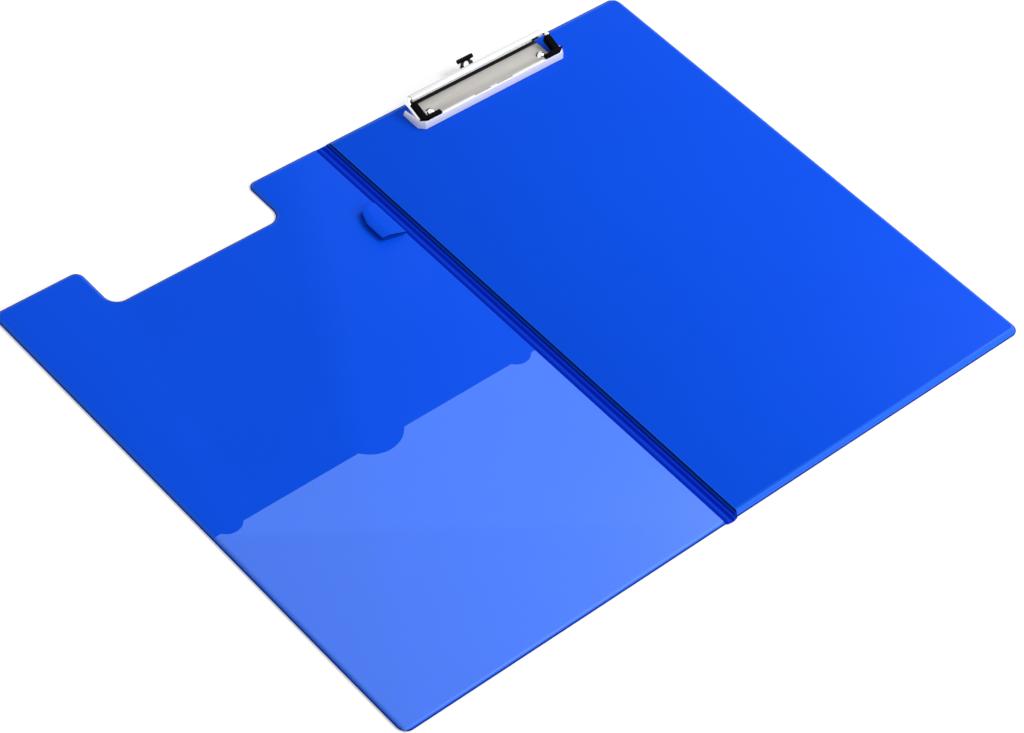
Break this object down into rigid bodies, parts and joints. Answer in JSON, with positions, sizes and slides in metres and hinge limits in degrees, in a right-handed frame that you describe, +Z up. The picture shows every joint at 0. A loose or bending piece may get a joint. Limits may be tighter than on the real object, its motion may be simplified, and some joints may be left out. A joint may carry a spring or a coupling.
{
  "type": "foldover clipboard",
  "caption": "Folding clipboard in welded blue PVC, lying open: a cover with a clear pocket, pen loop and cut-out, a folding spine, and a board with a sprung wire clip and a pull-out hanger.",
  "frame": {"origin": "on the table plane, under the middle of the whole open folder's box", "axes": "+X from the cover to the board, +Y towards the clip, +Z up from the table"},
  "size_m": [0.474, 0.3503, 0.0136],
  "materials": {
    "blue_pvc": "soft gloss vinyl sheet",
    "clear_pvc": "frosted clear sheet",
    "card": "plain card",
    "fibreboard": "plain fibreboard",
    "plated_sheet": "satin plated",
    "polished_steel": "bright plated",
    "black_plastic": "dipped or moulded, soft gloss"
  },
  "bodies": {
    "board": {"board_outer_skin": "blue_pvc", "board_inner_skin": "blue_pvc", "board_stiffener": "fibreboard", "clip_base_plate": "plated_sheet", "clip_rivets": "polished_steel", "rivet_washers": "plated_sheet"},
    "spine": {"spine_outer_skin": "blue_pvc", "spine_inner_skin": "blue_pvc"},
    "cover": {"cover_outer_skin": "blue_pvc", "cover_inner_skin": "blue_pvc", "cover_card": "card", "pocket_sheet": "clear_pvc", "pen_loop": "blue_pvc"},
    "jaw": {"jaw_frame": "polished_steel", "spring_bow": "polished_steel", "corner_cap_left": "black_plastic", "corner_cap_right": "black_plastic"},
    "hanger": {"hanger": "polished_steel", "hanger_grip": "black_plastic"}
  },
  "joints": [
    {"name": "spine_fold", "type": "hinge", "parent": "board", "child": "spine", "pos_m": [0.0012, 0, 0.00035], "axis": [0, 1, 0], "range_deg": [-90, 90]},
    {"name": "cover_fold", "type": "hinge", "parent": "spine", "child": "cover", "pos_m": [-0.0074, 0, 0.00035], "axis": [0, 1, 0], "range_deg": [-90, 90]},
    {"name": "jaw_lift", "type": "hinge", "parent": "board", "child": "jaw", "pos_m": [0.1126, 0.16385, 0.0112], "axis": [-1, 0, 0], "range_deg": [0, 30], "stiffness_Nm_per_rad": 0.5, "springref_deg": -28.65},
    {"name": "hanger_pull", "type": "slide", "parent": "board", "child": "hanger", "axis": [0, 1, 0], "range_m": [0, 0.011]}
  ]
}
